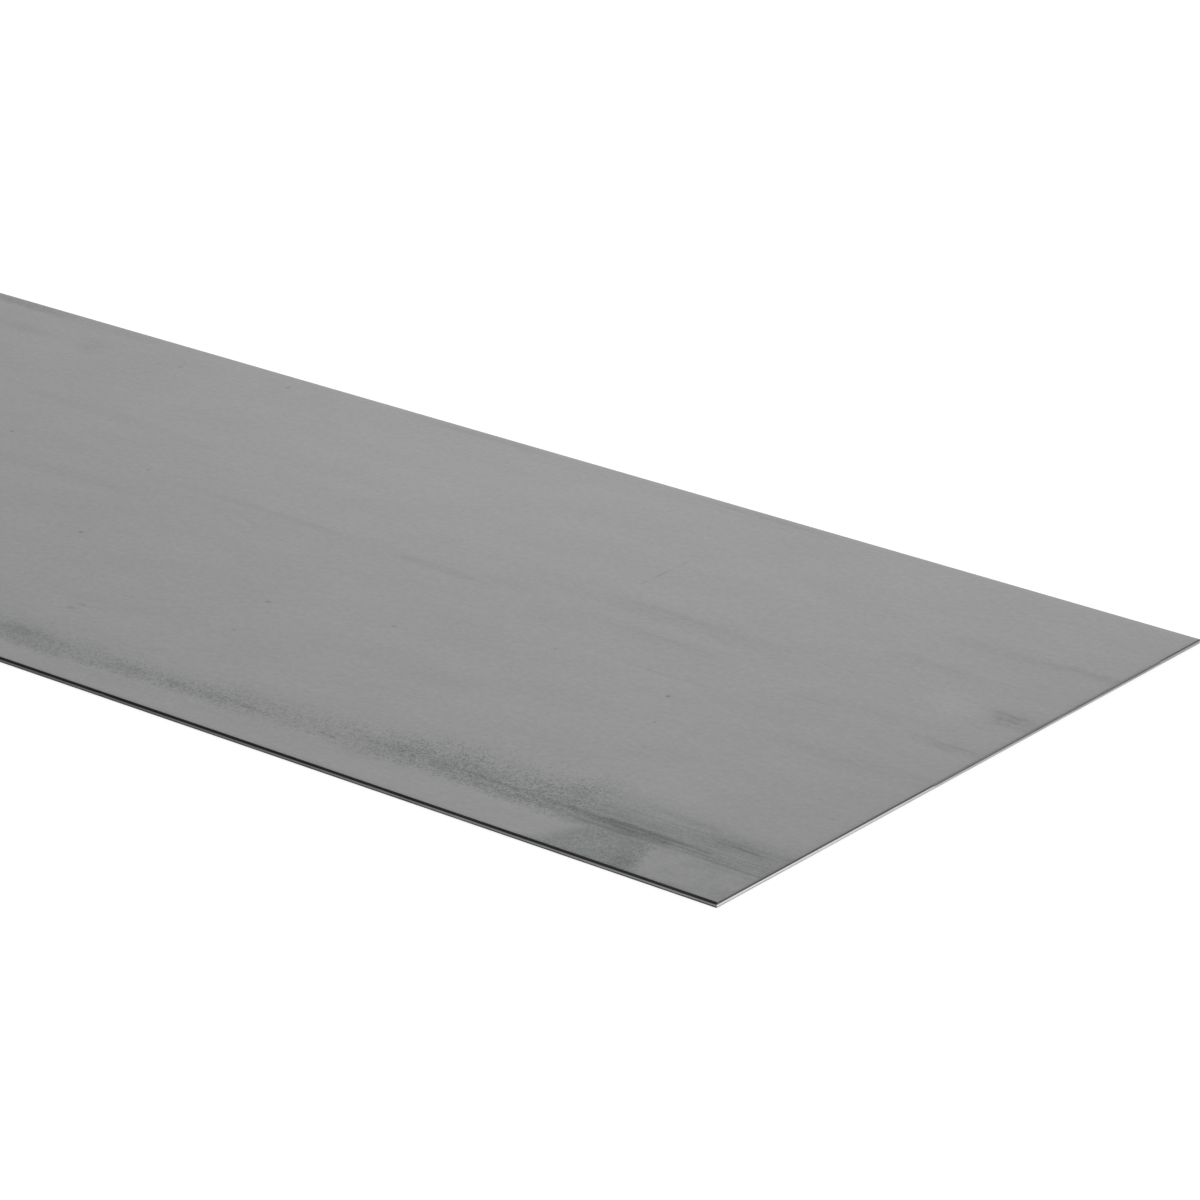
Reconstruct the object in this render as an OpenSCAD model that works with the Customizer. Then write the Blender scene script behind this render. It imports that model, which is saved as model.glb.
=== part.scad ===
// Flat steel sheet, cold rolled, 18 gauge.
// A strip is slit from coil to the sheet's width, then sheared to its length.
// Every cut starts on the upper face and leaves the same bands on the cut edge, from the top down:
// a rollover where the face was drawn down, an upright burnished land, and a fracture that leans inwards.
// Length runs along X and width along Y. The sheet lies on Z = 0, centred on the origin.

/* [Sheet] */
// Length along the rolling direction, end to end
sheet_length = 609.6; // [150:0.1:1220]
// Width between the two slit edges
sheet_width = 203.2; // [100:0.1:610]
// Thickness between the two faces, 1.21 for 18 gauge
thickness = 1.21; // [1.00:0.01:3.40]

/* [Slit edges, the two long sides] */
// Radius of the rollover
slit_roll_radius = 0.80; // [0.50:0.01:1.20]
// How far the rollover drops below the upper face
slit_roll_drop = 0.40; // [0.10:0.01:0.42]
// Height of the burnished land below the rollover
slit_land = 0.45; // [0.20:0.01:0.55]
// How far the fracture leans in by the lower face
slit_lean = 0.07; // [0.02:0.01:0.20]

/* [Sheared ends, the two short sides] */
// Radius of the rollover
end_roll_radius = 0.50; // [0.50:0.01:1.20]
// How far the rollover drops below the upper face
end_roll_drop = 0.20; // [0.10:0.01:0.35]
// Height of the burnished land below the rollover
end_land = 0.55; // [0.20:0.01:0.62]
// How far the fracture leans in by the lower face
end_lean = 0.08; // [0.02:0.01:0.20]

/* [Hidden] */
// Sides that a preview draws a whole circle with
$fn = 96;
// How far each swept section runs past the cuts that trim it
trim_allowance = 2;

// How far in from the cut a rollover starts.
// Its arc leaves the upper face level and has dropped by drop at the cut.
function roll_reach(radius, drop) = sqrt(drop * (2 * radius - drop));

// What a rollover takes off a square corner: all that lies beyond a quarter circle about the origin
module rollover_waste(radius) {
    difference() {
        square(2 * radius);
        circle(r = radius);
    }
}

// Section between two opposite cuts, drawn upright with the lower face along Y = 0
module cut_section(span, radius, drop, land, lean) {
    half = span / 2;
    land_bottom = thickness - drop - land;
    difference() {
        polygon([
            [half, thickness], [half, land_bottom], [half - lean, 0],
            [lean - half, 0], [-half, land_bottom], [-half, thickness],
        ]);
        for (side = [0, 1])
            mirror([side, 0])
                translate([half - roll_reach(radius, drop), thickness - radius])
                    rollover_waste(radius);
    }
}

// The section across the width, swept along X: what the two slitting cuts leave of the coil
module slit_strip() {
    rotate([90, 0, 90])
        linear_extrude(height = sheet_length + 2 * trim_allowance, center = true)
            cut_section(sheet_width, slit_roll_radius, slit_roll_drop, slit_land, slit_lean);
}

// The section along the length, swept along Y: what the two shear cuts leave of the strip
module sheared_length() {
    rotate([90, 0, 0])
        linear_extrude(height = sheet_width + 2 * trim_allowance, center = true)
            cut_section(sheet_length, end_roll_radius, end_roll_drop, end_land, end_lean);
}

module sheet() {
    color([0.57, 0.57, 0.57])
        intersection() {
            slit_strip();
            sheared_length();
        }
}

sheet();
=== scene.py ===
"""A flat steel sheet, dressed over its CAD frame. Lengths are in metres unless they say millimetres."""

from math import acos, radians, sqrt

import bpy
import numpy as np
from mathutils import Euler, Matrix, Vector


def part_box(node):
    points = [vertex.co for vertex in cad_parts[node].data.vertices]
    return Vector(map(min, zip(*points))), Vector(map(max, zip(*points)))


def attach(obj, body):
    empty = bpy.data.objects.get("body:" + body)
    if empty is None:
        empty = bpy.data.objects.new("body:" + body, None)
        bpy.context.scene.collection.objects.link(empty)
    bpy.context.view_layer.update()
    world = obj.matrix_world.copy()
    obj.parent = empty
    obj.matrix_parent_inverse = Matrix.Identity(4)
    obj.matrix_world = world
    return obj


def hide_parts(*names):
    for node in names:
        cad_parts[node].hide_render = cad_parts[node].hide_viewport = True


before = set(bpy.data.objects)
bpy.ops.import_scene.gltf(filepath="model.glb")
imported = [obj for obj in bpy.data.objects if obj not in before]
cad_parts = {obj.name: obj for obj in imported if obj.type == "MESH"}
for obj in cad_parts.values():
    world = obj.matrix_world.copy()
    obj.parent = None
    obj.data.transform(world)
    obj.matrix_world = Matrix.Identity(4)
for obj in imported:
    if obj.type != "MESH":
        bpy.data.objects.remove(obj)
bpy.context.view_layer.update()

# The sheet is one piece of cold rolled steel, slit from a coil to its width and sheared to its length.
# Both cuts start on the upper face. The blade draws that face down into a rollover, burnishes an upright
# land below it and tears off the rest, so the lowest part of every edge is rough and leans in.
mm = 0.001
low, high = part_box("sheet")
length, width, thickness = high - low

hem = 1.5 * mm
roll_steps = 8
land_steps = 3
tear_steps = 6
hem_end = 1
roll_end = hem_end + roll_steps
land_end = roll_end + land_steps


def cut_rows(radius, drop, land, lean):
    """How far in from the cut and how high each row of points lies, from the upper face to the lower.
    The first row is on the upper face, a hem's width from the rollover, and keeps the face flat there."""
    reach = sqrt(drop * (2 * radius - drop))
    bends = np.linspace(0, acos(1 - drop / radius), roll_steps + 1)
    land_top = thickness - drop
    land_bottom = land_top - land
    flat = [reach + hem], [thickness]
    rolled = reach - radius * np.sin(bends), thickness - radius * (1 - np.cos(bends))
    burnished = np.zeros(land_steps), np.linspace(land_top, land_bottom, land_steps + 1)[1:]
    torn = np.linspace(0, lean, tear_steps + 1)[1:], np.linspace(land_bottom, 0, tear_steps + 1)[1:]
    return np.concatenate([flat, rolled, burnished, torn], axis=1)


slit_rows = cut_rows(radius=0.80 * mm, drop=0.40 * mm, land=0.45 * mm, lean=0.07 * mm)
end_rows = cut_rows(radius=0.50 * mm, drop=0.20 * mm, land=0.55 * mm, lean=0.08 * mm)
row_count = slit_rows.shape[1]

# Columns of points run down the cuts, side by side round the sheet: front, right end, back, left end.
# Each side takes half of the small rounded corner at either end of it.
face_cells = (120, 40)
columns_per_cell = 8
side_steps = [cells * columns_per_cell for cells in face_cells * 2]
half_corner_steps = 3
corner_radius = 0.25 * mm
sharpest_corner = 0.04 * mm
side_starts = np.cumsum([0] + [steps + 2 * half_corner_steps for steps in side_steps])
column_count = int(side_starts[-1])

column_side = np.repeat(range(4), np.diff(side_starts))
column_run = np.concatenate([
    np.concatenate([
        np.full(half_corner_steps, -1.0),
        np.linspace(-1, 1, steps + 1),
        np.full(half_corner_steps - 1, 1.0),
    ])
    for steps in side_steps
])
column_turn = np.concatenate([
    np.concatenate([
        np.linspace(radians(-45), 0, half_corner_steps + 1)[:-1],
        np.zeros(steps + 1),
        np.linspace(0, radians(45), half_corner_steps + 1)[1:-1],
    ])
    for steps in side_steps
])
outward = np.array([(0, -1), (1, 0), (0, 1), (-1, 0)])[column_side]
onward = np.array([(1, 0), (0, 1), (-1, 0), (0, -1)])[column_side]
facing = outward * np.cos(column_turn)[:, None] + onward * np.sin(column_turn)[:, None]
corner_share = 0.5 * np.abs(column_turn) / radians(45)
end_share = np.where(column_side % 2 == 1, 1 - corner_share, corner_share)


def outline(half_length, half_width, corner):
    """The columns' places round a rectangle with rounded corners, seen from above."""
    half = np.array([half_length, half_width])
    out_reach = np.abs(outward) @ half - corner
    run_reach = np.abs(onward) @ half - corner
    return outward * out_reach[:, None] + onward * (run_reach * column_run)[:, None] + facing * corner


# Chance starts from a fixed seed, so that every run gives the same edge.
chance = np.random.default_rng(16)


def wander(spread):
    """An even random curve round the sheet, about -2 to 2, that drifts over about spread metres."""
    spacing = 2 * (length + width) / column_count
    waves = np.fft.rfftfreq(column_count, spacing)
    cut_off = 3
    kept = np.exp(-((cut_off * waves * spread) ** 2))
    curve = np.fft.irfft(np.fft.rfft(chance.standard_normal(column_count)) * kept, column_count)
    return curve / curve.std()


# The land ends in a wavering line, and below it the torn metal is pitted.
slow_waver = 0.045 * mm
quick_waver = 0.030 * mm
tear_line = slow_waver * wander(14 * mm) + quick_waver * wander(2.5 * mm)
pit_depth = 0.014 * mm

# A small knock on the front edge.
knock_from_end = 196 * mm
knock_half_width = 1.1 * mm
knock_depth = 0.16 * mm

rows = []
for row in range(row_count):
    slit_inset, slit_height = slit_rows[:, row]
    end_inset, end_height = end_rows[:, row]
    corner = max(corner_radius - max(slit_inset, end_inset), sharpest_corner)
    plan = outline(length / 2 - end_inset, width / 2 - slit_inset, corner)
    height = slit_height * (1 - end_share) + end_height * end_share
    pulled_in = np.zeros(column_count)
    torn = max(row - land_end, 0) / tear_steps
    if row >= land_end:
        height = height + tear_line * (1 - torn)
    if 0 < torn < 1:
        pulled_in = pit_depth * (np.abs(wander(1.0 * mm)) + np.abs(wander(4 * mm)))
    if hem_end < row <= land_end:
        from_knock = (plan[:, 0] - (length / 2 - knock_from_end)) / knock_half_width
        pulled_in = pulled_in + knock_depth * np.exp(-from_knock**2) * (column_side == 0)
    rows.append(np.column_stack([plan - facing * pulled_in[:, None], height]))

# Each face is a grid of cells. Its rim joins the grid to the finer columns of the cut round it.
rim = 4 * mm


def face_grid(row, height):
    """Points of a face inside its rim, from the left end to the right and from the front to the back."""
    half_length = length / 2 - end_rows[0, row] - rim
    half_width = width / 2 - slit_rows[0, row] - rim
    x, y = np.meshgrid(
        np.linspace(-half_length, half_length, face_cells[0] + 1),
        np.linspace(-half_width, half_width, face_cells[1] + 1),
    )
    return np.column_stack([x.ravel(), y.ravel(), np.full(x.size, height)])


points = np.concatenate(rows + [face_grid(0, thickness), face_grid(-1, 0.0)])
grid_points = (face_cells[0] + 1) * (face_cells[1] + 1)
upper_grid = row_count * column_count
lower_grid = upper_grid + grid_points


def face_polygons(row_start, grid_start):
    """One face's polygons, counterclockwise from above: its cells, its rim and its four corners."""
    across, back = face_cells[0] + 1, face_cells[1] + 1
    grid = grid_start + np.arange(grid_points).reshape(back, across)
    cells = np.stack([grid[:-1, :-1], grid[:-1, 1:], grid[1:, 1:], grid[1:, :-1]], axis=-1)
    polygons = cells.reshape(-1, 4).tolist()
    inner_sides = [grid[0], grid[:, -1], grid[-1, ::-1], grid[::-1, 0]]
    for side, inner in enumerate(inner_sides):
        first = row_start + side_starts[side] + half_corner_steps
        for cell in range(len(inner) - 1):
            outer = first + cell * columns_per_cell + np.arange(columns_per_cell + 1)
            polygons.append([*outer.tolist(), int(inner[cell + 1]), int(inner[cell])])
        turn = side_starts[side + 1] - half_corner_steps + np.arange(2 * half_corner_steps + 1)
        polygons.append([*(row_start + turn % column_count).tolist(), int(inner[-1])])
    return polygons


lower_face = [polygon[::-1] for polygon in face_polygons((row_count - 1) * column_count, lower_grid)]
column = np.arange(column_count)
next_column = (column + 1) % column_count
edge_faces = [
    np.column_stack([below + column, below + next_column, above + next_column, above + column])
    for above, below in zip(
        np.arange(row_count - 1) * column_count,
        np.arange(1, row_count) * column_count,
    )
]
upper_face = face_polygons(0, upper_grid) + np.concatenate(edge_faces[:hem_end]).tolist()
edge_faces = np.concatenate(edge_faces[hem_end:]).tolist()

sheet_mesh = bpy.data.meshes.new("steel_sheet")
sheet_mesh.from_pydata(points.tolist(), [], upper_face + edge_faces + lower_face)
sheet_mesh.shade_smooth()
sharpest_blend = radians(18)
sheet_mesh.set_sharp_from_angle(angle=sharpest_blend)

# The skin laid out flat on a square, for finishes that are painted on: the faces, then the slit edges,
# then both ends in one row. The edges are drawn taller than they are, to keep their bands apart.
# A patch is its left side, its bottom, its width and its height, as shares of the square.
upper_patch = (0.006, 0.365, 0.988, 0.629)
lower_patch = (0.006, 0.108, 0.988, 0.249)
edge_patches = np.array([
    (0.006, 0.074, 0.988, 0.026),
    (0.006, 0.006, 0.488, 0.026),
    (0.006, 0.040, 0.988, 0.026),
    (0.506, 0.006, 0.488, 0.026),
])[column_side]


def face_layout(patch, polygons):
    """Where the corners of a face's polygons lie on the square."""
    corners = points[np.concatenate(polygons), :2] / (length, width) + 0.5
    return np.array(patch[:2]) + corners * patch[2:]


def share_left(cut):
    """The share of a cut's height, measured along its surface, that is left below each row."""
    steps = np.hypot(*np.diff(cut[:, hem_end:], axis=1))
    return 1 - np.concatenate([[0], np.cumsum(steps)]) / steps.sum()


columns_before = column - side_starts[column_side]
columns_on_side = np.diff(side_starts)[column_side]
across = np.column_stack([columns_before, columns_before + 1, columns_before + 1, columns_before])
across = across / columns_on_side[:, None]
left_below = np.array([share_left(slit_rows), share_left(end_rows)])[column_side % 2]
edge_layout = []
for row in range(left_below.shape[1] - 1):
    upwards = left_below[:, [row + 1, row + 1, row, row]]
    on_patch = np.stack([across, upwards], axis=-1) * edge_patches[:, None, 2:]
    edge_layout.append((edge_patches[:, None, :2] + on_patch).reshape(-1, 2))
layout = np.concatenate([
    face_layout(upper_patch, upper_face), *edge_layout, face_layout(lower_patch, lower_face)
])
sheet_mesh.uv_layers.new(name="OFBake").data.foreach_set("uv", layout.ravel())

sheet = bpy.data.objects.new("steel_sheet", sheet_mesh)
bpy.context.collection.objects.link(sheet)
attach(sheet, "root")
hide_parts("sheet")

# The rolled faces are bare mill finish: satin steel with fine lines and grain left by the rolls.
# A little of the mill's oil is still on it, wiped along the rolling direction into dark streaks.
# Places on the faces are in millimetres, from the right end along the sheet and from the front edge.


def feed(tree, socket, value):
    """Gives a socket a plain value or the output of another node."""
    if isinstance(value, bpy.types.NodeSocket):
        tree.links.new(value, socket)
    else:
        socket.default_value = value


def maths(tree, operation, *values):
    """One sum on plain values or the outputs of other nodes."""
    node = tree.nodes.new("ShaderNodeMath")
    node.operation = operation
    for socket, value in zip(node.inputs, values):
        feed(tree, socket, value)
    return node.outputs["Value"]


def plus(tree, base, layer, amount):
    """The base with this amount of a layer added to it."""
    return maths(tree, "MULTIPLY_ADD", layer, amount, base)


def times(tree, first, *others):
    """Values multiplied together."""
    for other in others:
        first = maths(tree, "MULTIPLY", first, other)
    return first


def distance(tree, one, other):
    """How far apart two values are."""
    return maths(tree, "ABSOLUTE", maths(tree, "SUBTRACT", one, other))


def ease(tree, value, start, finish, low_end=0.0, high_end=1.0):
    """Goes smoothly from low_end to high_end as the value goes from start to finish."""
    node = tree.nodes.new("ShaderNodeMapRange")
    node.interpolation_type = "SMOOTHSTEP"
    names = ("Value", "From Min", "From Max", "To Min", "To Max")
    for name, number in zip(names, (value, start, finish, low_end, high_end)):
        feed(tree, node.inputs[name], number)
    return node.outputs["Result"]


def scatter(tree, place, grain_size, detail=2.0):
    """Noise about 0, mostly from -1 to 1, with grains this many millimetres along, across and down."""
    spread = tree.nodes.new("ShaderNodeVectorMath")
    spread.operation = "DIVIDE"
    feed(tree, spread.inputs[0], place)
    feed(tree, spread.inputs[1], grain_size)
    noise = tree.nodes.new("ShaderNodeTexNoise")
    noise.inputs["Scale"].default_value = 1.0
    noise.inputs["Detail"].default_value = detail
    feed(tree, noise.inputs["Vector"], spread.outputs["Vector"])
    middle = 0.5
    stretch = 4.0
    return times(tree, maths(tree, "SUBTRACT", noise.outputs["Fac"], middle), stretch)


def new_group(name, inputs, outputs):
    """An empty node group, with what comes in and what goes out by name."""
    tree = bpy.data.node_groups.new(name, "ShaderNodeTree")
    for label, kind in inputs.items():
        tree.interface.new_socket(label, in_out="INPUT", socket_type=kind)
    for label in outputs:
        tree.interface.new_socket(label, in_out="OUTPUT", socket_type="NodeSocketFloat")
    entry = tree.nodes.new("NodeGroupInput").outputs
    leaving = tree.nodes.new("NodeGroupOutput").inputs
    return tree, entry, leaving


def use_group(tree, group, values):
    """The outputs of a node group that is given these values."""
    node = tree.nodes.new("ShaderNodeGroup")
    node.node_tree = group
    for label, value in values.items():
        feed(tree, node.inputs[label], value)
    return node.outputs


# Grain of rolled steel: fine lines along the rolling direction, a close even grain and slow drifts.
mill_grain, entry, leaving = new_group(
    "mill_grain", {"Place": "NodeSocketVector"}, ["Lines", "Grain", "Drift"]
)
feed(mill_grain, leaving["Lines"], scatter(mill_grain, entry["Place"], (45, 0.55, 5), detail=2))
feed(mill_grain, leaving["Grain"], scatter(mill_grain, entry["Place"], (1.5, 1.1, 0.8), detail=2))
feed(mill_grain, leaving["Drift"], scatter(mill_grain, entry["Place"], (34, 13, 20), detail=3))

# A streak that fades out to both sides of a straight line and to both ends, laid over what is under it.
oil_streak, entry, leaving = new_group(
    "oil_streak",
    {
        label: "NodeSocketFloat"
        for label in (
            "Along", "Across", "Middle", "Reach", "Full Reach", "Line", "Slope",
            "Half Width", "Full Width", "Depth", "Under",
        )
    },
    ["Film"],
)
line = plus(oil_streak, entry["Line"], entry["Along"], entry["Slope"])
off_line = distance(oil_streak, entry["Across"], line)
off_middle = distance(oil_streak, entry["Along"], entry["Middle"])
side_fade = ease(oil_streak, off_line, entry["Half Width"], entry["Full Width"])
end_fade = ease(oil_streak, off_middle, entry["Reach"], entry["Full Reach"])
body = times(oil_streak, side_fade, end_fade)
feed(oil_streak, leaving["Film"], plus(oil_streak, entry["Under"], body, entry["Depth"]))


def streak(start, finish, line, half_width, depth, line_to=None, ends=0.7, sides=0.85):
    """A streak from start to finish on a line that may drift. Ends and sides are shares that fade out."""
    slope = 0.0 if line_to is None else (line_to - line) / (finish - start)
    reach = (finish - start) / 2
    return {
        "Middle": (start + finish) / 2,
        "Reach": reach,
        "Full Reach": reach * (1 - ends),
        "Line": line - slope * start,
        "Slope": slope,
        "Half Width": half_width,
        "Full Width": half_width * (1 - sides),
        "Depth": depth,
    }


def spot(from_end, from_front, half_length, half_width, depth):
    """A soft spot, as deep in the middle as it says."""
    return streak(
        from_end - half_length, from_end + half_length, from_front, half_width, depth, ends=1.0, sides=1.0
    )


def lay_streaks(tree, along, across, streaks):
    """The film that these streaks leave, one over another."""
    film = 0.0
    for each in streaks:
        places = {"Along": along, "Across": across, "Under": film}
        film = use_group(tree, oil_streak, {**places, **each})["Film"]
    return film


def new_finish(name):
    """A material with one Principled shader, and its node tree."""
    material = bpy.data.materials.new(name)
    material.use_nodes = True
    tree = material.node_tree
    return material, tree, tree.nodes["Principled BSDF"]


def place_on_sheet(tree):
    """Millimetres from the right end, from the front edge and up from the lower face."""
    coordinates = tree.nodes.new("ShaderNodeTexCoord")
    turned = tree.nodes.new("ShaderNodeVectorMath")
    turned.operation = "MULTIPLY_ADD"
    feed(tree, turned.inputs[0], coordinates.outputs["Object"])
    turned.inputs[1].default_value = (-1 / mm, 1 / mm, 1 / mm)
    turned.inputs[2].default_value = (length / 2 / mm, width / 2 / mm, 0)
    apart = tree.nodes.new("ShaderNodeSeparateXYZ")
    feed(tree, apart.inputs["Vector"], turned.outputs["Vector"])
    return turned.outputs["Vector"], apart.outputs["X"], apart.outputs["Y"], apart.outputs["Z"]


rolled_skin, tree, shader = new_finish("rolled_skin")
place, from_end, from_front, up = place_on_sheet(tree)
on_upper_face = maths(tree, "GREATER_THAN", up, thickness / mm / 2)
grain = use_group(tree, mill_grain, {"Place": place})

# How the oil breaks up: a close stipple, flecks, blotches and the lines that the rolls left
stipple_strength = 1.9
stipple = times(tree, scatter(tree, place, (0.46, 0.44, 0.5), detail=1), stipple_strength)
flecks = scatter(tree, place, (1.7, 1.4, 1.0), detail=2)
blotch = scatter(tree, place, (9, 4.5, 4), detail=3)
roll_lines = scatter(tree, place, (60, 1.1, 5), detail=3)


def drawn_curve(tree, value, points):
    """A smooth curve through given points, level before the first and after the last."""
    reaches, heights = zip(*points)
    lowest, span = min(heights), max(heights) - min(heights)
    share = tree.nodes.new("ShaderNodeMapRange")
    feed(tree, share.inputs["Value"], value)
    share.inputs["From Min"].default_value = reaches[0]
    share.inputs["From Max"].default_value = reaches[-1]
    node = tree.nodes.new("ShaderNodeFloatCurve")
    knots = node.mapping.curves[0].points
    for index, (reach, height) in enumerate(points):
        spot = (reach - reaches[0]) / (reaches[-1] - reaches[0]), (height - lowest) / span
        knot = knots[index] if index < 2 else knots.new(*spot)
        knot.location = spot
        knot.handle_type = "AUTO_CLAMPED"
    node.mapping.update()
    feed(tree, node.inputs["Value"], share.outputs["Result"])
    return plus(tree, lowest, node.outputs["Value"], span)


# A band of oil along the front, stippled where it has dried: where it begins and ends across the sheet,
# how thick it is along it, and how it thins out from its sharp front rim to its ragged back rim.
band_front = drawn_curve(
    tree,
    from_end,
    [
        (0, 14.0), (30, 15.0), (46, 14.2), (65, 14.4), (100, 14.8), (125, 14.2), (165, 12.4),
        (200, 11.8), (218, 10.4), (229, 9.2), (242, 9.6), (340, 8),
    ],
)
band_back = drawn_curve(
    tree,
    from_end,
    [
        (0, 36.5), (30, 37), (56, 39.5), (72, 33.5), (88, 32.5), (100, 33.5), (112, 32.5), (126, 29.5),
        (165, 26), (205, 22.8), (237, 23.4), (340, 20),
    ],
)
band_depth = drawn_curve(
    tree,
    from_end,
    [
        (0, 0.30), (24, 0.33), (40, 0.36), (55, 0.40), (75, 0.37), (112, 0.36), (124, 0.22),
        (134, 0.07), (157, 0.06), (168, 0.23), (200, 0.265), (226, 0.29), (240, 0.36), (254, 0.36),
        (290, 0.18), (340, 0),
    ],
)
stippled = drawn_curve(
    tree,
    from_end,
    [
        (20, 0.36), (48, 0.38), (74, 1.02), (106, 0.98), (134, 0.65), (165, 0.70), (205, 0.68),
        (226, 0.55), (340, 0.5),
    ],
)
speckle = times(tree, plus(tree, stipple, flecks, 0.50), stippled)
ragged = plus(tree, plus(tree, from_front, blotch, 0.8), speckle, 0.7)
into_band = maths(
    tree,
    "DIVIDE",
    maths(tree, "SUBTRACT", ragged, band_front),
    maths(tree, "SUBTRACT", band_back, band_front),
)
into_band = times(tree, into_band, plus(tree, 1.0, speckle, -0.22))
band_body = drawn_curve(
    tree,
    into_band,
    [(-0.07, 0), (0.07, 0.82), (0.22, 1.05), (0.4, 1.0), (0.62, 0.72), (0.82, 0.36), (1.1, 0)],
)
blots = [
    spot(113, 21, 7, 7, 0.12),
    spot(97, 22, 6, 8, 0.08),
    spot(89, 20, 6, 6, 0.12),
    spot(64, 31, 6, 7, 0.24),
    spot(202, 15.6, 9, 4.0, 0.08),
    spot(184, 16.0, 8, 4.0, 0.09),
    spot(170, 16.2, 9, 4.0, 0.10),
    spot(240, 17, 9, 4.5, 0.16),
    spot(14, 29.5, 24, 6.5, 0.27),
]
thick = maths(tree, "ADD", band_depth, lay_streaks(tree, from_end, from_front, blots))
thick = plus(tree, thick, speckle, 0.22)
thick = plus(tree, thick, blotch, 0.07)
both_lines = plus(tree, roll_lines, grain["Lines"], 0.6)
thick = plus(tree, thick, both_lines, ease(tree, from_end, 90, 30, 0.02, 0.15))
band_film = times(tree, band_body, thick)

# A smudge between the band and the front edge, wider towards the edge and darker along its right side,
# and a thin film beside it up to the end. Each pair is where one begins and where it is full.
left_lean = 0.45
right_lean = -0.29
smudge_left = (62.5, 53)
smudge_right = (22.5, 30)
smudge_back = (18.5, 14)
darker_side = (37, 30)
corner_left = (46, 26)
corner_back = (40, 28)
wavered = plus(tree, plus(tree, from_end, blotch, 1.2), stipple, 0.8)
left_side = plus(tree, wavered, from_front, left_lean)
right_side = plus(tree, wavered, from_front, right_lean)
smudge_body = times(tree, ease(tree, right_side, *smudge_right), ease(tree, left_side, *smudge_left))
smudge_depth = plus(tree, ease(tree, right_side, *darker_side, 0.45, 0.57), stipple, 0.18)
smudge_depth = plus(tree, smudge_depth, blotch, 0.09)
smudge_depth = plus(tree, smudge_depth, flecks, 0.10)
smudge_film = times(tree, smudge_body, smudge_depth, ease(tree, ragged, *smudge_back))
corner_body = times(tree, ease(tree, wavered, *corner_left), ease(tree, from_front, *corner_back))
corner_depth = plus(tree, plus(tree, 0.15, stipple, 0.06), blotch, 0.15)
corner_film = times(tree, corner_body, corner_depth)
oil_film = maths(tree, "MAXIMUM", maths(tree, "MAXIMUM", band_film, smudge_film), corner_film)
oil_film = times(tree, maths(tree, "MAXIMUM", oil_film, 0.0), on_upper_face)

# Thin lines of dark oil where something was drawn along the front of the sheet.
drawn_lines = [
    # The dark core near the right end
    streak(10, 36, 18.9, 0.9, 0.36),
    streak(14, 34, 20.7, 1.0, 0.44, line_to=20.9),
    streak(16, 56, 20.9, 1.3, 0.30),
    streak(26, 53, 20.5, 2.2, 0.60),
    streak(26, 46, 18.0, 2.2, 0.42),
    streak(30, 60, 16.4, 1.3, 0.54),
    streak(36, 58, 18.3, 1.2, 0.46),
    streak(40, 70, 19.8, 1.4, 0.50),
    streak(54, 112, 20.4, 1.3, 0.30),
    # Fainter lines beside it
    streak(-6, 18, 20.6, 1.3, 0.18),
    streak(-6, 28, 17.5, 0.9, 0.26),
    streak(-6, 5, 29.2, 1.6, 0.18),
    streak(4, 26, 27.2, 2.4, 0.16),
    streak(6, 18, 26.9, 1.1, 0.22),
    streak(10, 48, 28.6, 0.8, 0.10),
    streak(20, 50, 32.4, 2.6, 0.15),
    streak(26, 72, 23.8, 0.8, 0.14),
    streak(28, 40, 4.6, 2.2, 0.14),
    streak(30, 50, 18.9, 1.3, 0.20),
    streak(36, 60, 15.2, 1.6, 0.10),
    streak(42, 68, 20.9, 1.3, 0.22),
    streak(44, 86, 26.9, 0.8, 0.16),
    streak(50, 82, 16.6, 1.0, 0.16),
    streak(50, 92, 17.6, 1.0, 0.22),
    streak(56, 76, 22.8, 1.2, 0.16),
    # Short dashes further along the band
    streak(111, 118, 14.7, 1.0, 0.26),
    streak(113, 118, 12.9, 0.8, 0.20),
    streak(127, 135, 23.0, 1.5, 0.14),
    streak(131, 138, 16.2, 1.1, 0.28),
    streak(149, 157, 16.2, 0.9, 0.14),
    streak(155, 168, 16.4, 1.0, 0.28),
    streak(172, 192, 16.4, 1.6, 0.14),
    streak(196, 208, 16.6, 1.5, 0.12),
    streak(208, 217, 12.2, 1.0, 0.12),
    streak(221, 250, 17.2, 2.2, 0.14),
]
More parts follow.
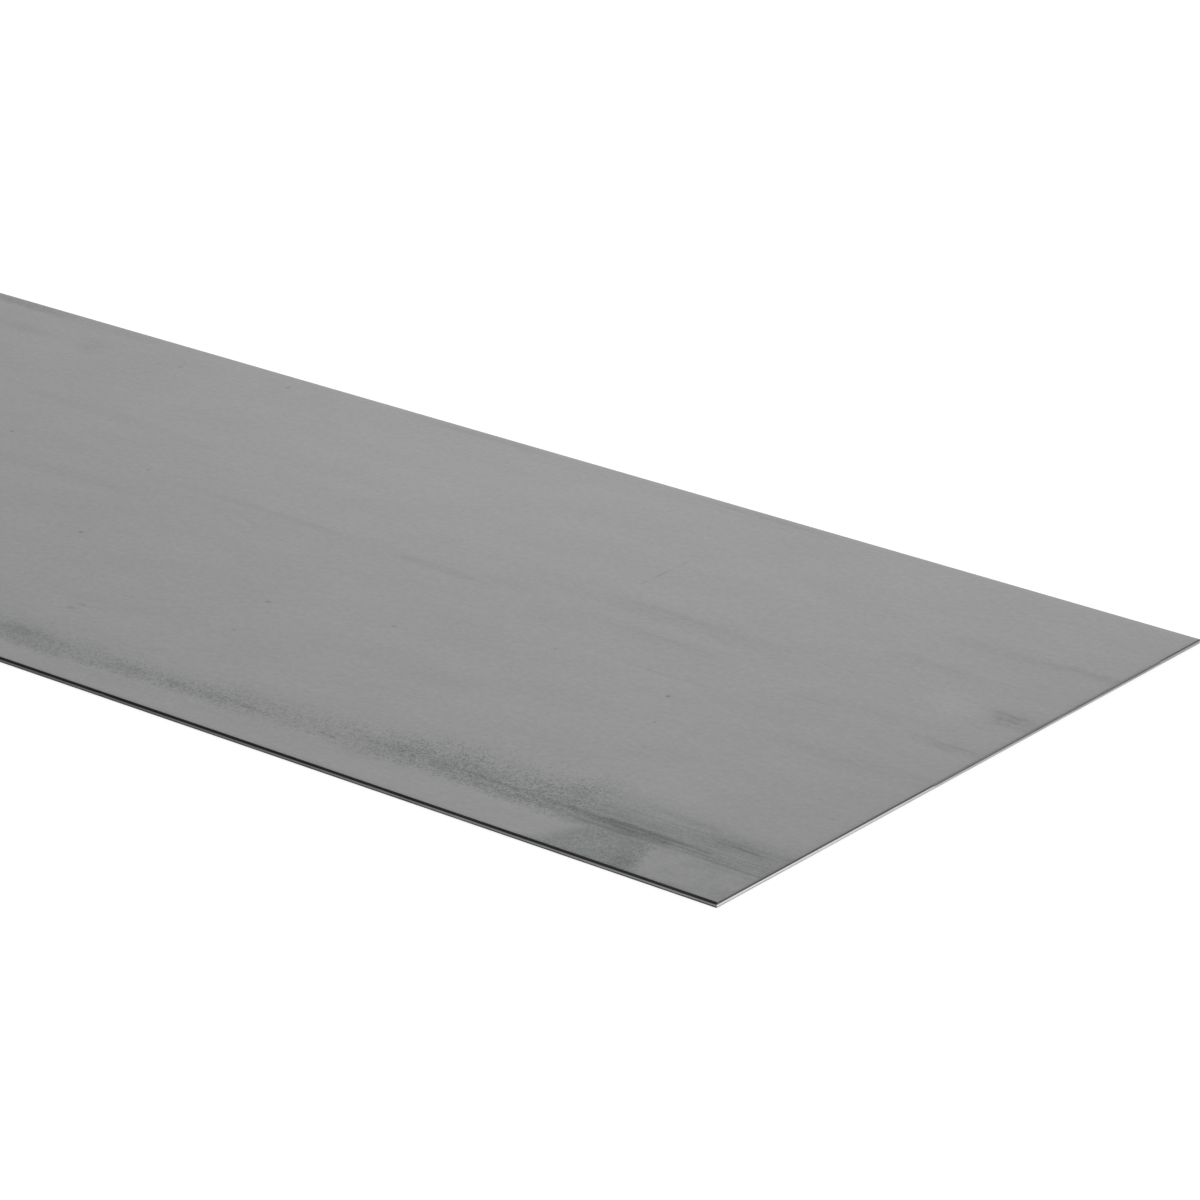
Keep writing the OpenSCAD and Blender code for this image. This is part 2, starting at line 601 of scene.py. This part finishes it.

# Faint wiped patches, where the oil has broken up into flecks and fills the lines that the rolls left, and
# a thin line of painted shade along the front edge.
wiped_patches_and_edge_shade = [
    # By the right end, with a paler spot beside them
    streak(-8, 18, 129.0, 8.0, 0.13, sides=1.0),
    streak(0, 16, 131.7, 2.5, 0.24, ends=0.9),
    streak(1, 14.5, 129.4, 1.9, 0.25, line_to=127.7, ends=0.9),
    streak(0, 14, 126.0, 1.3, 0.18, ends=0.9),
    spot(25, 127, 15, 18, -0.12),
    streak(2, 16, 120.8, 1.2, 0.08),
    streak(-6, 26, 106.4, 3.8, 0.10),
    streak(2, 18, 107.0, 1.6, 0.10, ends=0.9),
    streak(5, 16, 104.5, 1.4, 0.08),
    streak(-40, 66, 166.8, 3.8, 0.11, line_to=162.8),
    streak(-22, 28, 166.2, 2.8, 0.09),
    streak(26, 60, 145.8, 4.0, 0.09),
    # In the middle of the sheet
    streak(44, 62, 111.5, 6.0, 0.06),
    streak(47, 60, 108.6, 1.2, 0.08),
    streak(24, 50, 112.0, 5.0, 0.06),
    streak(84, 170, 129.0, 7.0, 0.07),
    streak(66, 110, 129.0, 9.0, 0.08, sides=1.0),
    streak(92, 142, 131.0, 2.6, 0.07),
    streak(96, 138, 127.8, 1.2, 0.08),
    streak(104, 138, 125.6, 1.1, 0.07),
    streak(76, 146, 116.5, 4.0, 0.06),
    streak(92, 124, 116.2, 1.5, 0.07),
    streak(94, 126, 113.0, 1.3, 0.06),
    streak(164, 208, 117.0, 3.2, 0.13),
    streak(146, 172, 120.0, 2.4, 0.08),
    streak(200, 290, 117.6, 2.6, 0.09, line_to=120.2),
    streak(76, 110, 98.0, 0.9, 0.14),
    streak(-20, 50, 84.5, 6.0, 0.07),
    # By the back edge and far along the sheet
    streak(386, 470, 185.5, 5.0, 0.06),
    spot(377, 185.5, 9, 8, 0.13),
    spot(402, 184.5, 12, 6, 0.10),
    streak(394, 470, 200.3, 3.2, 0.24, ends=0.5),
    streak(350, 470, 200.0, 3.6, 0.14, ends=0.6),
    streak(205, 272, 200.4, 2.6, 0.12),
    streak(112, 164, 200.4, 2.2, 0.16),
    streak(270, 400, 145.0, 4.0, 0.06, line_to=149.0),
    streak(250, 390, 108.0, 5.0, 0.06, line_to=102.0),
    # In front of the middle, and a thin dark rim of painted shade along the front edge
    streak(116, 152, 60.0, 7.0, 0.06),
    streak(52, 76, 57.0, 8.0, 0.06),
    streak(150, 340, 28.0, 9.0, 0.045, sides=1.0),
    streak(96, 330, 9.0, 5.0, 0.06, sides=1.0),
    streak(94, 134, 12.0, 4.5, 0.10),
    streak(-100, 700, 0.6, 1.7, 0.12),
]

# Neutral dark flecks in a break in the band, single specks of dirt, and marks that run across the sheet:
# a scratch, a darker strip by the end and a slightly paler stretch by the back edge, which is painted
# light.
flecked_gap = streak(112, 180, 19.5, 11.5, 0.17, ends=0.6, sides=1.0)
specks = [
    spot(83.5, 87.7, 0.9, 1.1, 1.0),
    spot(308.3, 195.6, 1.1, 1.4, 0.55),
    spot(351, 187.0, 1.0, 1.1, 0.40),
    spot(344.3, 188.7, 1.0, 1.1, 0.45),
    spot(276, 76, 1.0, 1.2, 0.7),
    spot(203.5, 71, 1.0, 1.3, 0.6),
    spot(167, 79, 1.1, 0.8, 0.6),
    spot(7, 54.3, 0.8, 0.9, 0.25),
    spot(68.5, 59.2, 0.9, 0.8, 0.25),
    spot(345, 119.6, 1.0, 0.9, 0.6),
    spot(76, 72.8, 0.7, 0.8, 0.5),
    spot(197.5, 51.3, 0.8, 0.9, 0.5),
    spot(125, 93.7, 0.8, 0.7, 0.4),
    spot(294, 121.4, 0.8, 0.9, 0.5),
    spot(240, 39, 2.0, 1.3, 0.35),
    spot(241, 35.8, 2.2, 1.4, 0.40),
]
scratch_from_end = 135.3
marks_and_painted_light_across = [
    # The scratch, faint and deeper in three places
    streak(140, 164, scratch_from_end, 0.7, 0.07),
    streak(141.5, 145.5, scratch_from_end, 0.8, 0.16),
    streak(147.5, 154, scratch_from_end, 0.8, 0.26),
    streak(158.5, 162.5, scratch_from_end, 0.8, 0.18),
    # The strip, and the stretch of painted light
    streak(-40, 245, 0.0, 6.0, 0.03),
    streak(-90, 295, 0.0, 56, 0.075, ends=0.3, sides=1.0),
    # Painted light: the paler stretch towards the back edge
    streak(112, 214, 220, 195, -0.055, sides=1.0),
]

# The streaks waver a little. The lower face has the wiped patches and the painted edge shade too, shifted
# along the sheet.
lower_shift = 150
unsteady_end = plus(tree, from_end, blotch, 3.5)
unsteady_line = plus(tree, from_front, blotch, 0.45)
on_lower_face = maths(tree, "SUBTRACT", 1.0, on_upper_face)
wiped_end = plus(tree, unsteady_end, on_lower_face, lower_shift)
wiped_and_edge_shade = lay_streaks(tree, wiped_end, unsteady_line, wiped_patches_and_edge_shade)
filled = plus(tree, plus(tree, 1.0, roll_lines, 0.5), flecks, 0.5)
filled = maths(tree, "MAXIMUM", filled, 0.0)
film_and_painted_light = times(tree, wiped_and_edge_shade, plus(tree, filled, stipple, 0.25))
drawn = lay_streaks(tree, unsteady_end, unsteady_line, drawn_lines)
threads = plus(tree, 1.0, grain["Lines"], 0.25)
dirt_and_painted_light = times(tree, drawn, plus(tree, threads, stipple, 0.18))
gap = lay_streaks(tree, unsteady_end, unsteady_line, [flecked_gap])
fleck = plus(tree, plus(tree, 0.75, flecks, 0.50), stipple, 0.32)
dirt_and_painted_light = plus(tree, dirt_and_painted_light, gap, fleck)
dirt_and_painted_light = plus(tree, dirt_and_painted_light, band_body, ease(tree, speckle, 0.15, 1.1, 0.0, 0.26))
dirt_and_painted_light = maths(tree, "ADD", dirt_and_painted_light, lay_streaks(tree, from_end, from_front, specks))
dirt_and_painted_light = maths(tree, "ADD", dirt_and_painted_light, lay_streaks(tree, from_front, from_end, marks_and_painted_light_across))
film_and_painted_light = plus(tree, film_and_painted_light, dirt_and_painted_light, on_upper_face)
film_and_painted_light = plus(tree, film_and_painted_light, ease(tree, flecks, 1.05, 1.45), 0.20)
film_and_painted_light = maths(tree, "MINIMUM", film_and_painted_light, 1.0)


def scaled(tree, vector, factor):
    """A colour or a vector made longer or shorter by a factor."""
    node = tree.nodes.new("ShaderNodeVectorMath")
    node.operation = "SCALE"
    feed(tree, node.inputs[0], vector)
    feed(tree, node.inputs["Scale"], factor)
    return node.outputs["Vector"]


def blend(tree, share, below, above):
    """One colour laid over another by its share."""
    node = tree.nodes.new("ShaderNodeMix")
    node.data_type = "RGBA"
    feed(tree, node.inputs["Factor"], share)
    feed(tree, node.inputs[6], (*below, 1))
    feed(tree, node.inputs[7], (*above, 1))
    return node.outputs[2]


# Steel, oil and dirt together, with painted light and shade in the film that darkens the tone
steel_tone = np.array([0.300, 0.300, 0.300])
oil_tint = np.array([0.217, 0.301, 0.271])
stains_and_painted_light_darken = 0.58
steel_roughness = 0.42
tone = plus(tree, 1.0, grain["Drift"], 0.030)
tone = plus(tree, tone, grain["Lines"], 0.012)
tone = plus(tree, tone, grain["Grain"], 0.084)
# The film also holds painted shade along the front edge and painted light by the back edge
darkened = times(tree, tone, plus(tree, 1.0, film_and_painted_light, -stains_and_painted_light_darken))
colour = blend(tree, oil_film, steel_tone, steel_tone * oil_tint)
feed(tree, shader.inputs["Base Color"], scaled(tree, colour, darkened))
shader.inputs["Metallic"].default_value = 1.0
roughness = plus(tree, steel_roughness, grain["Grain"], 0.02)
feed(tree, shader.inputs["Roughness"], plus(tree, roughness, oil_film, -0.08))
bump = tree.nodes.new("ShaderNodeBump")
bump.inputs["Strength"].default_value = 0.25
bump.inputs["Distance"].default_value = 0.004 * mm
feed(tree, bump.inputs["Height"], maths(tree, "ADD", grain["Lines"], grain["Grain"]))
feed(tree, shader.inputs["Normal"], bump.outputs["Normal"])

# The cut edges are bare steel, each band with the look that the blade left on it.
# The slit edges are dark, partly from the oil of handling since the coil was slit and partly painted
# shade, and the dark line on each rollover is partly gathered oil and partly painted shade. The ends are
# cut last, so their lands are fresh and bright, and their tone is raised further by a painted highlight.
blade_marks, entry, leaving = new_group("blade_marks", {"Place": "NodeSocketVector"}, ["Drag", "Patches"])
feed(blade_marks, leaving["Drag"], scatter(blade_marks, entry["Place"], (0.5, 0.5, 6), detail=2))
feed(blade_marks, leaving["Patches"], scatter(blade_marks, entry["Place"], (9, 9, 4), detail=3))


def cut_finish(name, tone, roughness, drag, patches, far_tone):
    """One band of a cut edge: its tone by the near corner, how rough it is, how much drag marks and
    patches change its tone, and how many times that tone it has far from the corner."""
    material, tree, shader = new_finish(name)
    place, from_end, from_front, _ = place_on_sheet(tree)
    from_corner = maths(tree, "ADD", from_end, from_front)
    far_off = 200
    darkest = 0.1
    marks = use_group(tree, blade_marks, {"Place": place})
    grain = use_group(tree, mill_grain, {"Place": place})
    shade = plus(tree, 1.0, marks["Drag"], drag)
    shade = maths(tree, "MAXIMUM", plus(tree, shade, marks["Patches"], patches), darkest)
    shade = times(tree, shade, ease(tree, from_corner, 0, far_off, 1.0, far_tone))
    feed(tree, shader.inputs["Base Color"], scaled(tree, tone, shade))
    feed(tree, shader.inputs["Roughness"], plus(tree, roughness, grain["Grain"], 0.03))
    shader.inputs["Metallic"].default_value = 1.0
    return material


# Tones with painted shade on the slit edges and rollovers, and a painted highlight on the end lands and
# tears
slit_finishes_with_painted_shade = [
    cut_finish("slit_rollover", (0.032, 0.033, 0.032), 0.40, 0.10, 0.20, 0.55),
    cut_finish("slit_land", (0.215, 0.217, 0.215), 0.35, 0.10, 0.15, 0.52),
    cut_finish("slit_tear", (0.064, 0.064, 0.063), 0.60, 0.20, 0.20, 1.25),
]
end_finishes_with_painted_light = [
    cut_finish("end_shoulder", (0.220, 0.221, 0.220), 0.42, 0.04, 0.08, 1.50),
    cut_finish("end_rollover", (0.105, 0.106, 0.105), 0.40, 0.08, 0.15, 1.00),
    cut_finish("end_land", (0.700, 0.700, 0.695), 0.32, 0.05, 0.08, 0.46),
    cut_finish("end_tear", (0.470, 0.470, 0.466), 0.55, 0.10, 0.10, 0.95),
]
for material in [rolled_skin] + slit_finishes_with_painted_shade + end_finishes_with_painted_light:
    sheet_mesh.materials.append(material)

# On the slit edges each finish covers one band. On the ends the dark one, a line of painted shade, starts
# part way down the rollover and covers the top of the land, and the bright one, a painted highlight, runs
# a little way into the tear. Along the middle of an end, measured from -1 to 1 along it,
# the dark line lies lower.
shoulder_rows = 5
dark_land_rows = 1
bright_tear_rows = 2
lowered_middle = 0.38
lowered_reach = 0.48
lowered = np.abs(column_run - lowered_middle) + 0.04 * wander(8 * mm) < lowered_reach
shoulder_end = np.where(lowered, roll_end, hem_end + shoulder_rows)
dark_end = roll_end + dark_land_rows + lowered
bright_end = land_end + bright_tear_rows
edge_rows = np.arange(hem_end, row_count - 1)[:, None]
slit_band = sum(edge_rows >= limit for limit in (roll_end, land_end))
end_band = sum(edge_rows >= limit for limit in (shoulder_end, dark_end, bright_end))
on_end = column_side % 2 == 1
edge_finish = 1 + np.where(on_end, len(slit_finishes_with_painted_shade) + end_band, slit_band)
finish_numbers = np.concatenate([
    np.zeros(len(upper_face)), edge_finish.ravel(), np.zeros(len(lower_face))
])
sheet_mesh.polygons.foreach_set("material_index", finish_numbers.astype(np.int32))

# The floor is a wide pale plane that the sheet lies on. It shows the camera and the steel a white ground,
# and the light that falls on it still shows where the sheet shades it.
floor_size = 16.0
floor_gap = 0.02 * mm
floor_tone = (0.42, 0.42, 0.42, 1)
floor_glow = 0.72
floor_mesh = bpy.data.meshes.new("studio_floor")
floor_mesh.from_pydata(
    [(x * floor_size / 2, y * floor_size / 2, 0) for x, y in ((-1, -1), (1, -1), (1, 1), (-1, 1))],
    [],
    [(0, 1, 2, 3)],
)
floor = bpy.data.objects.new("studio_floor", floor_mesh)
floor.location.z = low.z - floor_gap
bpy.context.collection.objects.link(floor)
floor_paint, tree, shader = new_finish("floor_paint")
shader.inputs["Base Color"].default_value = floor_tone
shader.inputs["Roughness"].default_value = 0.9
shader.inputs["Specular IOR Level"].default_value = 0.0
shader.inputs["Emission Color"].default_value = (1, 1, 1, 1)
seen = tree.nodes.new("ShaderNodeLightPath").outputs
shown = maths(tree, "MAXIMUM", seen["Is Camera Ray"], seen["Is Glossy Ray"])
shown = maths(tree, "MAXIMUM", shown, seen["Is Transmission Ray"])
feed(tree, shader.inputs["Emission Strength"], times(tree, shown, floor_glow))
floor_mesh.materials.append(floor_paint)

# The light is a plain white studio: bright all round near the floor, with a soft light overhead,
# and a soft box behind the sheet that lights its far side a little more than its near side.
studio = bpy.data.worlds.new("studio_light")
studio.use_nodes = True
tree = studio.node_tree
coordinates = tree.nodes.new("ShaderNodeTexCoord")
apart = tree.nodes.new("ShaderNodeSeparateXYZ")
feed(tree, apart.inputs["Vector"], coordinates.outputs["Generated"])
sky = tree.nodes["Background"]
sky.inputs["Color"].default_value = (1, 1, 1, 1)
# How strong it is, from level to straight up
sky_strength = drawn_curve(
    tree,
    apart.outputs["Z"],
    [
        (0, 1.35), (0.2, 1.28), (0.33, 1.06), (0.43, 0.83), (0.58, 0.54), (0.75, 0.54), (0.9, 0.86),
        (1, 0.94),
    ],
)
feed(tree, sky.inputs["Strength"], sky_strength)
bpy.context.scene.world = studio
soft_box_data = bpy.data.lights.new("soft_box", "AREA")
soft_box_data.shape = "RECTANGLE"
soft_box_data.size = 1.7
soft_box_data.size_y = 1.0
soft_box_data.energy = 2.2
soft_box = bpy.data.objects.new("soft_box", soft_box_data)
soft_box.location = (-0.90, 2.22, 0.55)
soft_box_target = Vector((0.0, 0.05, 0.0))
soft_box_aim = soft_box_target - soft_box.location
soft_box.rotation_euler = soft_box_aim.to_track_quat("-Z", "Y").to_euler()
bpy.context.collection.objects.link(soft_box)

# The camera looks down on the near corner from the front right, through a long lens.
# The sheet's left end runs out of its view.
camera_data = bpy.data.cameras.new("camera")
camera_data.sensor_width = 36.0
camera_data.lens = 165.25
camera_data.clip_end = 50.0
camera = bpy.data.objects.new("camera", camera_data)
camera.location = (1.00577, -1.01260, 0.54934)
look_down = radians(22.346)
look_left = radians(38.920)
camera.rotation_euler = Euler((radians(90) - look_down, 0, look_left))
bpy.context.collection.objects.link(camera)
bpy.context.scene.camera = camera
bpy.context.scene.view_settings.view_transform = "Standard"
